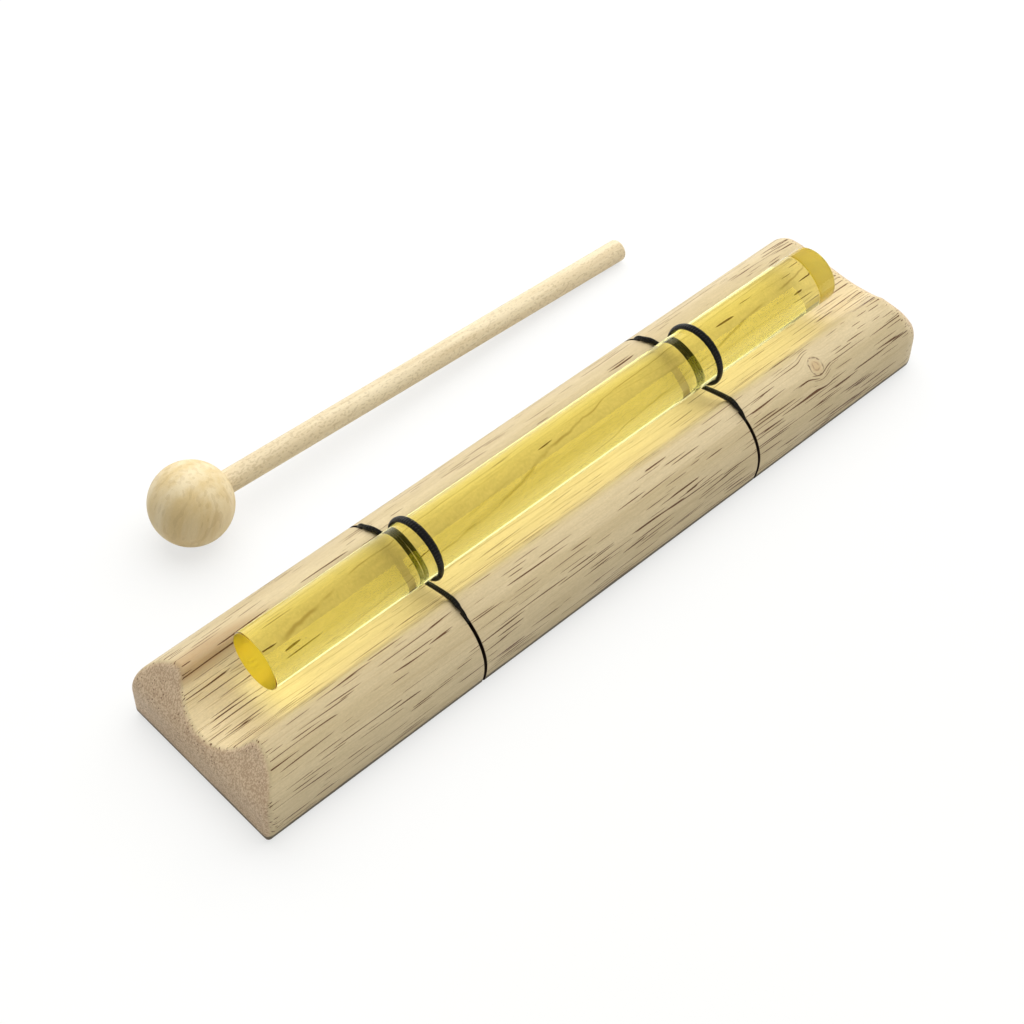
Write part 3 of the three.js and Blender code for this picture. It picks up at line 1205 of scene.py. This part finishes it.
    def _end_cuts(self) -> list[tuple[Vector, Vector]]:
        """Lists the cuts that let the ends follow their rounds.

        Returns:
            A place and a direction for each cut.
        """
        along, aside, up = Matrix.Identity(3)
        fold = self.end_blend * math.tan(self.end_lean / 2.0)
        span = fold * (1.0 + math.cos(self.end_lean))
        heights = [self.end_upright - fold + span * i / self.lean_steps for i in range(self.lean_steps + 1)]
        widths = []
        turns = [math.pi / 2.0 * i / self.round_steps for i in range(self.round_steps)]
        for end in (self.near_end, self.far_end):
            heights += [end.foot * (1.0 - math.sin(turn)) for turn in turns]
            widths += [self.half_width - end.corner * (1.0 - math.sin(turn)) for turn in turns]
        cuts = [(up * height, up) for height in heights]
        cuts.append((along * (self.length / 2.0 - self.sanded_length), along))
        return cuts + [(aside * (side.value * width), aside) for width in widths for side in Side]

    def _end_drop(self, place: Vector) -> float:
        """Works out how far an end's surface lies behind the block's full length.

        Args:
            place: A place on the end.

        Returns:
            The distance, from the lean and from the sanded foot and corners.
        """
        end = self._end_at(place.x)
        into_foot = max(0.0, min(end.foot, end.foot - place.z))
        into_corner = max(0.0, min(end.corner, abs(place.y) - self.half_width + end.corner))
        foot = end.foot - math.sqrt(end.foot**2 - into_foot**2)
        corner = end.corner - math.sqrt(end.corner**2 - into_corner**2)
        return self._lean(place.z) + math.hypot(foot, corner)

    def _lean(self, height: float) -> float:
        """Works out how far the ends lean back at a height: upright, then round, then straight.

        Args:
            height: The height.

        Returns:
            The distance behind the upright.
        """
        rise = height - self.end_upright + self.end_blend * math.tan(self.end_lean / 2.0)
        if rise <= 0.0:
            return 0.0
        if rise <= self.end_blend * math.sin(self.end_lean):
            return self.end_blend - math.sqrt(self.end_blend**2 - rise**2)
        return (height - self.end_upright) * math.tan(self.end_lean)

    def _saw_kerf(self, bm: bmesh.types.BMesh, x: float) -> None:
        """Saws one kerf down both sides and across the underside.

        Args:
            bm: The mesh in work.
            x: The kerf's middle.
        """
        low, high = x - self.kerf_width / 2.0, x + self.kerf_width / 2.0
        for edge in (low, high):
            cut_through(bm, Vector((edge, 0.0, 0.0)), Vector((1.0, 0.0, 0.0)))

        def in_strip(face: bmesh.types.BMFace) -> bool:
            """Finds the faces between the two cuts."""
            return all(low - self.seam < vert.co.x < high + self.seam for vert in face.verts)

        def in_kerf(face: bmesh.types.BMFace) -> bool:
            """Finds the faces that the saw takes away."""
            middle = face.calc_center_median()
            return in_strip(face) and (abs(middle.y) > self.kerf_floor or middle.z < self.slot_depth)

        for side in Side:
            strip = [face for face in bm.faces if in_strip(face)]
            parts = dict.fromkeys(item for face in strip for item in (*face.verts, *face.edges))
            bmesh.ops.bisect_plane(
                bm, geom=strip + list(parts), plane_co=(0.0, side.value * self.kerf_floor, 0.0),
                plane_no=(0.0, 1.0, 0.0),
            )
        sawn = [face for face in bm.faces if in_kerf(face)]
        pushed = bmesh.ops.extrude_face_region(bm, geom=sawn)["geom"]
        bmesh.ops.delete(bm, geom=sawn, context="FACES")
        for vert in only_verts(pushed):
            vert.co.y = max(-self.kerf_floor, min(self.kerf_floor, vert.co.y))
            vert.co.z = max(self.slot_depth, vert.co.z)
        bmesh.ops.remove_doubles(bm, verts=bm.verts, dist=WELD)
        bmesh.ops.dissolve_degenerate(bm, edges=bm.edges, dist=WELD)


@dataclass
class ToneBar:
    """The clear bar, a solid rod with eased rims."""

    length: float = 181.5 * MM
    radius: float = 7.5 * MM
    height: float = 25.9 * MM
    rim: float = 0.45 * MM
    rim_steps: int = 4
    sides: int = 128

    def build(self, material: bpy.types.Material) -> bpy.types.Object:
        """Builds the bar.

        Args:
            material: Its glass.

        Returns:
            The piece.
        """
        start = Vector((-self.length / 2.0, 0.0, self.height))
        bm = pull_rod(self.radius, self.length, start, self.sides, self.rim, self.rim_steps)
        piece = make_piece(bm, "bar_rod", material, "tone_bar")
        even_shading(piece)
        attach(piece, "bar")
        return piece


@dataclass(frozen=True)
class Station:
    """A place on a cord: its centre, its width along X and its depth."""

    centre: Vector
    width: float
    depth: float


@dataclass
class SuspensionCord:
    """One cord: round over the shoulders, flatter on the bar, squeezed thin in its kerf."""

    node: str
    kerf_x: float
    block: BaseBlock
    bar: ToneBar
    thickness: float = 1.35 * MM
    ring_width: float = 2.15 * MM
    ring_depth: float = 1.25 * MM
    under_width: float = 1.05 * MM
    kerf_width: float = 0.75 * MM
    kerf_depth: float = 2.4 * MM
    touch: float = 0.03 * MM
    turn_shift: float = 1.5 * MM
    turn_gap: float = 0.5 * MM
    bend: Pair = (1.44 * MM, 1.92 * MM)
    dive: float = 0.66
    squeeze: Pair = (0.3, 0.6)
    corner_steps: int = 6
    wood_steps: int = 12
    crest_steps: int = 10
    strand_steps: int = 24
    lead_steps: int = 8
    turn_steps: int = 150
    sides: int = 16
    crease: float = 60.0

    @property
    def wood_lift(self) -> float:
        """From the wood to the centre of the cord that lies on it."""
        return self.thickness / 2.0 + self.touch

    @property
    def bar_lift(self) -> float:
        """From the bar to the centre of the cord that goes round it."""
        return self.ring_depth / 2.0 + self.touch

    def build(self, material: bpy.types.Material) -> list[bpy.types.Object]:
        """Builds both halves of the cord, which meet under the bar and under the block.

        Args:
            material: The cord's finish.

        Returns:
            The front and the back half.
        """
        halves = []
        for side in Side:
            bm = bmesh.new()
            self._sweep(bm, self._route(side))
            bmesh.ops.recalc_face_normals(bm, faces=bm.faces)
            name = f"{self.node}_{side.name.lower()}_half"
            piece = make_piece(bm, name, material, self.node, self.crease)
            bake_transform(piece)
            halves.append(piece)
        return halves

    def _strand_ends(self) -> tuple[float, float]:
        """Finds the strand that runs over the back crest and under the bar.

        Returns:
            Its angle on the crest and its angle on the bar.
        """
        way = Vector((0.0, self.bar.height)) - self.block.crest
        radii = self.block.crest_radius + self.wood_lift + self.bar.radius + self.bar_lift
        leave = math.atan2(way.y, way.x) - math.acos(radii / way.length)
        return leave, leave - math.pi

    def _route(self, side: Side) -> list[Station]:
        """Follows the cord from under the block to under the bar.

        Args:
            side: The half's side. The back half makes the turn round the bar.

        Returns:
            The stations.
        """
        block, bar_centre = self.block, Vector((0.0, self.bar.height))
        leave, meet = self._strand_ends()
        inset = self.kerf_depth / 2.0 + self.touch
        corner = Vector((block.kerf_floor, block.slot_depth))
        over_shoulder = block.shoulder_radius + self.wood_lift
        entry = math.acos((block.kerf_floor - block.shoulder.x) / over_shoulder)
        round_bar = self.bar.radius + self.bar_lift

        bottom = Vector((0.0, corner.y - inset))
        in_kerf = [bottom, *arc(corner, inset, -math.pi / 2.0, 0.0, self.corner_steps)]
        dive = Vector((corner.x + inset, block.shoulder.y + self.dive * block.shoulder_radius))
        on_wood = arc(block.shoulder, over_shoulder, entry, block.crest_angle, self.wood_steps)
        rise = hook(dive, on_wood[0], entry, self.wood_steps)
        over_crest = block.crest_radius + self.wood_lift
        on_wood += arc(block.crest, over_crest, block.crest_angle, leave, self.crest_steps)[1:]
        strand_end = arc(bar_centre, round_bar, meet, meet, 1)[0]
        shares = [(i + 1) / self.strand_steps for i in range(self.strand_steps)]
        strand = [on_wood[-1].lerp(strand_end, share) for share in shares]

        first_shift, pitch = self._shifts(meet)
        turn_start, turn_end = -math.pi - meet, meet + 2.0 * math.pi
        start, steps = (turn_start, self.lead_steps) if side is Side.FRONT else (turn_end, self.turn_steps)
        shift = first_shift + pitch * (start - turn_start)

        stations = [
            Station(self._at(point, side, 0.0), self.kerf_width, self.kerf_depth) for point in in_kerf
        ]
        squeezed, loosening = self.squeeze
        for i, point in enumerate(rise):
            squeeze = 1.0 - smooth((i / self.wood_steps - squeezed) / loosening)
            depth = self.thickness + (self.kerf_depth - self.thickness) * squeeze
            stations.append(Station(self._at(point, side, 0.0), self.kerf_width, depth))
        clear = round_bar + self.thickness / 2.0
        whole = (on_wood[0] - bar_centre).length - clear
        for i, point in enumerate(on_wood[1:] + strand):
            home = smooth(((point - bar_centre).length - clear) / whole)
            near = smooth((i - len(on_wood)) / len(strand))
            width = self.kerf_width + (self.thickness - self.kerf_width) * smooth(i / self.lead_steps)
            width += (self.under_width - self.thickness) * near
            depth = self.thickness + (self.ring_depth - self.thickness) * near
            stations.append(Station(self._at(point, side, shift * (1.0 - home)), width, depth))
        for i in range(1, steps + 1):
            angle = start + (-math.pi / 2.0 - start) * i / steps
            point = arc(bar_centre, round_bar, angle, angle, 1)[0]
            across = first_shift + pitch * (angle - turn_start)
            press = smooth((1.0 + math.sin(angle)) / 2.0)
            width = self.under_width + (self.ring_width - self.under_width) * press
            stations.append(Station(Vector((self.kerf_x + across, point.x, point.y)), width, self.ring_depth))
        return stations

    def _shifts(self, meet: float) -> tuple[float, float]:
        """Works out how the turn climbs along the bar.

        Args:
            meet: Angle at which the back strand leaves the bar.

        Returns:
            The shift at the turn's start, and the climb per radian.
        """
        pitch = (self.under_width + self.turn_gap) / (2.0 * math.pi)
        whole = 3.0 * math.pi + 2.0 * meet
        return self.turn_shift - pitch * whole / 2.0, pitch

    def _at(self, point: Vector, side: Side, shift: float) -> Vector:
        """Places a point of the back half's plane on a side of the block."""
        return Vector((self.kerf_x + shift, side.value * point.x, point.y))

    def _sweep(self, bm: bmesh.types.BMesh, stations: list[Station]) -> None:
        """Extrudes a ring from station to station and closes both ends.

        Args:
            bm: The mesh in work.
            stations: The stations in order.
        """
        layer = bm.loops.layers.uv.new("Braid")
        ring = bmesh.ops.create_circle(bm, cap_ends=True, segments=self.sides, radius=1.0)["verts"]
        unit = [vert.co.copy() for vert in ring]
        way = 0.0
        for i, station in enumerate(stations):
            ahead = stations[min(i + 1, len(stations) - 1)].centre
            behind = stations[max(i - 1, 0)].centre
            tangent = (ahead - behind).normalized()
            along_bar = Vector((1.0, 0.0, 0.0))
            width_axis = (along_bar - tangent * along_bar.dot(tangent)).normalized()
            depth_axis = tangent.cross(width_axis)
            half_width = width_axis * (station.width / 2.0)
            half_depth = depth_axis * (station.depth / 2.0)
            previous = way
            if i:
                way += (station.centre - stations[i - 1].centre).length
                made = bmesh.ops.extrude_edge_only(bm, edges=ring_edges(ring))["geom"]
                fresh = set(only_verts(made))
                ring = [neighbour(vert, fresh) for vert in ring]
                for face in (item for item in made if isinstance(item, bmesh.types.BMFace)):
                    self._lay_uv(face, layer, ring, previous, way)
            for vert, place in zip(ring, unit):
                vert.co = station.centre + half_width * place.x + half_depth * place.y
        bmesh.ops.contextual_create(bm, geom=ring_edges(ring))

    def _lay_uv(self, face: bmesh.types.BMFace, layer: bmesh.types.BMLayerItem,
                ring: list[bmesh.types.BMVert], previous: float, way: float) -> None:
        """Unrolls one face of the cord: once round in U, and lengths in rounds in V.

        Args:
            face: The face.
            layer: The UV layer.
            ring: The ring just made, in order.
            previous: Length up to the ring before.
            way: Length up to this ring.
        """
        order = {vert: i for i, vert in enumerate(ring)}
        places = {order[vert] for vert in face.verts if vert in order}
        low = min(places)
        first = low if places == {low, low + 1} else max(places)
        round_length = math.pi * self.thickness
        for loop in face.loops:
            on_ring = loop.vert in order
            mate = loop.vert if on_ring else neighbour(loop.vert, order)
            step = 0 if order[mate] == first else 1
            loop[layer].uv = ((first + step) / self.sides, (way if on_ring else previous) / round_length)


@dataclass
class Mallet:
    """The mallet: a turned ball on a dowel, lying behind the block."""

    ball_radius: float = 10.6 * MM
    bore_depth: float = 14.0 * MM
    dowel_radius: float = 3.05 * MM
    reach: float = 145.8 * MM
    tip_radius: float = 1.0 * MM
    seat: float = 0.05 * MM
    x: float = -66.0 * MM
    y: float = 57.6 * MM
    ball_steps: int = 40
    ball_sides: int = 96
    dowel_sides: int = 48
    tip_steps: int = 6

    @property
    def place(self) -> Matrix:
        """Where the mallet lies: its ball and the edge of its tip on the table."""
        along = self.reach - self.tip_radius
        below = self.dowel_radius - self.tip_radius
        drop = math.asin((self.ball_radius - self.tip_radius) / math.hypot(along, below))
        dip = drop - math.atan2(below, along)
        return Matrix.Translation((self.x, self.y, self.ball_radius)) @ Matrix.Rotation(dip, 4, "Y")

    def build(self, ball: bpy.types.Material, dowel: bpy.types.Material) -> list[bpy.types.Object]:
        """Builds both pieces.

        Args:
            ball: Wood of the ball.
            dowel: Wood of the dowel.

        Returns:
            The ball and the dowel.
        """
        pieces = [
            make_piece(self._turn_ball(), "mallet_ball", ball, "mallet_head"),
            make_piece(self._cut_dowel(), "mallet_dowel", dowel, "mallet_handle"),
        ]
        for piece in pieces:
            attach(piece, "mallet")
        return pieces

    def _turn_ball(self) -> bmesh.types.BMesh:
        """Turns the ball, with its blind bore towards +X.

        Returns:
            The mesh, in place.
        """
        bm = bmesh.new()
        bore = self.dowel_radius + self.seat
        mouth = math.acos(bore / self.ball_radius)
        pole = bm.verts.new((-self.ball_radius, 0.0, 0.0))
        swept = bmesh.ops.spin(
            bm, geom=[pole], cent=(0.0, 0.0, 0.0), axis=(0.0, 1.0, 0.0), angle=math.pi / 2.0 + mouth,
            steps=self.ball_steps,
        )
        edge = only_verts(swept["geom_last"])[0]
        floor = bmesh.ops.extrude_vert_indiv(bm, verts=[edge])["verts"][0]
        floor.co.x = self.ball_radius - self.bore_depth
        middle = bmesh.ops.extrude_vert_indiv(bm, verts=[floor])["verts"][0]
        middle.co.z = 0.0
        bmesh.ops.spin(
            bm, geom=bm.verts[:] + bm.edges[:], cent=(0.0, 0.0, 0.0), axis=(1.0, 0.0, 0.0),
            angle=2.0 * math.pi, steps=self.ball_sides, use_merge=True,
        )
        bmesh.ops.remove_doubles(bm, verts=bm.verts, dist=WELD)
        bmesh.ops.recalc_face_normals(bm, faces=bm.faces)
        bm.transform(self.place)
        return bm

    def _cut_dowel(self) -> bmesh.types.BMesh:
        """Cuts the dowel and rounds its ends.

        Returns:
            The mesh, in place.
        """
        start = self.ball_radius - self.bore_depth + self.seat
        bm = pull_rod(
            self.dowel_radius, self.reach - start, Vector((start, 0.0, 0.0)), self.dowel_sides,
            self.tip_radius, self.tip_steps,
        )
        bm.transform(self.place)
        return bm


@dataclass
class Studio:
    """White table, one broad soft light overhead, a pale backdrop behind the part, and even fill."""

    floor_size: float = 4.0
    key_place: Triple = (0.73, 0.32, 1.61)
    key_size: float = 3.0
    key_power: float = 67.0
    backdrop_place: Triple = (0.3, 2.0, 0.75)
    backdrop_size: float = 2.4
    backdrop_power: float = 10.5
    fill: Colour = (1.0, 1.0, 1.0, 1.0)
    fill_strength: float = 0.30
    horizon_strength: float = 1.0
    light_steps: int = 48

    def build(self, floor: bpy.types.Material) -> None:
        """Builds the floor and the lights.

        Args:
            floor: The table's finish.
        """
        scene = bpy.context.scene
        bm = bmesh.new()
        bmesh.ops.create_grid(bm, x_segments=1, y_segments=1, size=self.floor_size / 2.0)
        mesh = bpy.data.meshes.new("Table top")
        bm.to_mesh(mesh)
        bm.free()
        mesh.materials.append(floor)
        table = bpy.data.objects.new("Table top", mesh)
        scene.collection.objects.link(table)

        key = self._hang_light("Key", self.key_place, self.key_size, self.key_power)
        key.visible_glossy = False
        self._hang_light("Backdrop", self.backdrop_place, self.backdrop_size, self.backdrop_power)

        world = bpy.data.worlds.new("Soft room")
        world.use_nodes = True
        room = world.node_tree.nodes["Background"]
        room.inputs["Color"].default_value = self.fill
        board = NodeBoard(world.node_tree)
        seen = board.add("ShaderNodeLightPath").outputs["Is Camera Ray"]
        board.put(room.inputs["Strength"], board.between(seen, self.fill_strength, self.horizon_strength))
        scene.world = world
        scene.view_settings.view_transform = "Standard"
        scene.cycles.max_bounces = self.light_steps
        scene.cycles.glossy_bounces = self.light_steps
        scene.cycles.transmission_bounces = self.light_steps
        scene.cycles.blur_glossy = 0.0

    @staticmethod
    def _hang_light(name: str, place: Triple, size: float, power: float) -> bpy.types.Object:
        """Hangs a round light that faces the part.

        Args:
            name: The light's name.
            place: Where it hangs.
            size: Its diameter.
            power: Its power, in watts.

        Returns:
            The light.
        """
        panel = bpy.data.lights.new(name, "AREA")
        panel.shape = "DISK"
        panel.size = size
        panel.energy = power
        lamp = bpy.data.objects.new(name, panel)
        lamp.location = place
        lamp.rotation_euler = (-Vector(place)).to_track_quat("-Z", "Y").to_euler()
        bpy.context.scene.collection.objects.link(lamp)
        return lamp


@dataclass
class PhotoCamera:
    """The photograph's camera, fitted to the edges of the block and the bar."""

    focal_pixels: float = 2114.27
    frame_pixels: float = 1024.0
    azimuth: float = math.radians(-43.172)
    elevation: float = math.radians(49.053)
    roll: float = math.radians(0.175)
    target: Triple = (-5.142 * MM, 9.767 * MM, 0.0)
    distance: float = 520.46 * MM
    clip_start: float = 0.01

    def build(self) -> None:
        """Places the camera and makes it the scene's."""
        back = Vector((
            math.sin(self.azimuth) * math.cos(self.elevation),
            -math.cos(self.azimuth) * math.cos(self.elevation),
            math.sin(self.elevation),
        ))
        level = Vector((math.cos(self.azimuth), math.sin(self.azimuth), 0.0))
        upright = back.cross(level)
        right = level * math.cos(self.roll) + upright * math.sin(self.roll)
        up = upright * math.cos(self.roll) - level * math.sin(self.roll)
        lens = bpy.data.cameras.new("Photo camera")
        lens.sensor_fit = "HORIZONTAL"
        lens.lens = lens.sensor_width * self.focal_pixels / self.frame_pixels
        lens.clip_start = self.clip_start
        camera = bpy.data.objects.new("Photo camera", lens)
        turn = Matrix((right, up, back)).transposed().to_4x4()
        camera.matrix_world = Matrix.Translation(Vector(self.target) + back * self.distance) @ turn
        bpy.context.scene.collection.objects.link(camera)
        bpy.context.scene.camera = camera


BALL_WOOD = MalletWood(
    name="Ball wood",
    pale=(0.70, 0.59, 0.38, 1.0),
    tan=(0.605, 0.465, 0.235, 1.0),
    fleck=(0.33, 0.22, 0.10, 1.0),
    fleck_length=5.0 * MM,
    fleck_width=1.2 * MM,
    fleck_share=0.16,
    band_width=4.5 * MM,
    grain_turn=(0.0, math.radians(70.0), 0.0),
)
DOWEL_WOOD = MalletWood(
    name="Dowel wood",
    pale=(0.70, 0.60, 0.41, 1.0),
    tan=(0.61, 0.50, 0.32, 1.0),
    fleck=(0.36, 0.27, 0.16, 1.0),
    fleck_length=0.9 * MM,
    fleck_width=0.45 * MM,
    fleck_share=0.32,
    band_width=1.6 * MM,
)


def main() -> None:
    """Builds the pieces in order and notes the size of the result."""
    logging.basicConfig(level=logging.INFO, format="%(message)s")
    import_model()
    effects = Effects()
    block = BaseBlock()
    bar = ToneBar()
    block.build(BlockWood().make(effects))
    bar.build(TintedGlass().make(effects))
    cord_finish = BraidedCord().make(effects)
    for node, side in (("near_cord", -1.0), ("far_cord", 1.0)):
        SuspensionCord(node, side * block.kerf_spacing / 2.0, block, bar).build(cord_finish)
    Mallet().build(BALL_WOOD.make(effects), DOWEL_WOOD.make(effects))
    Studio().build(PaleFloor().make(effects))
    PhotoCamera().build()


if __name__ == "__main__":
    main()
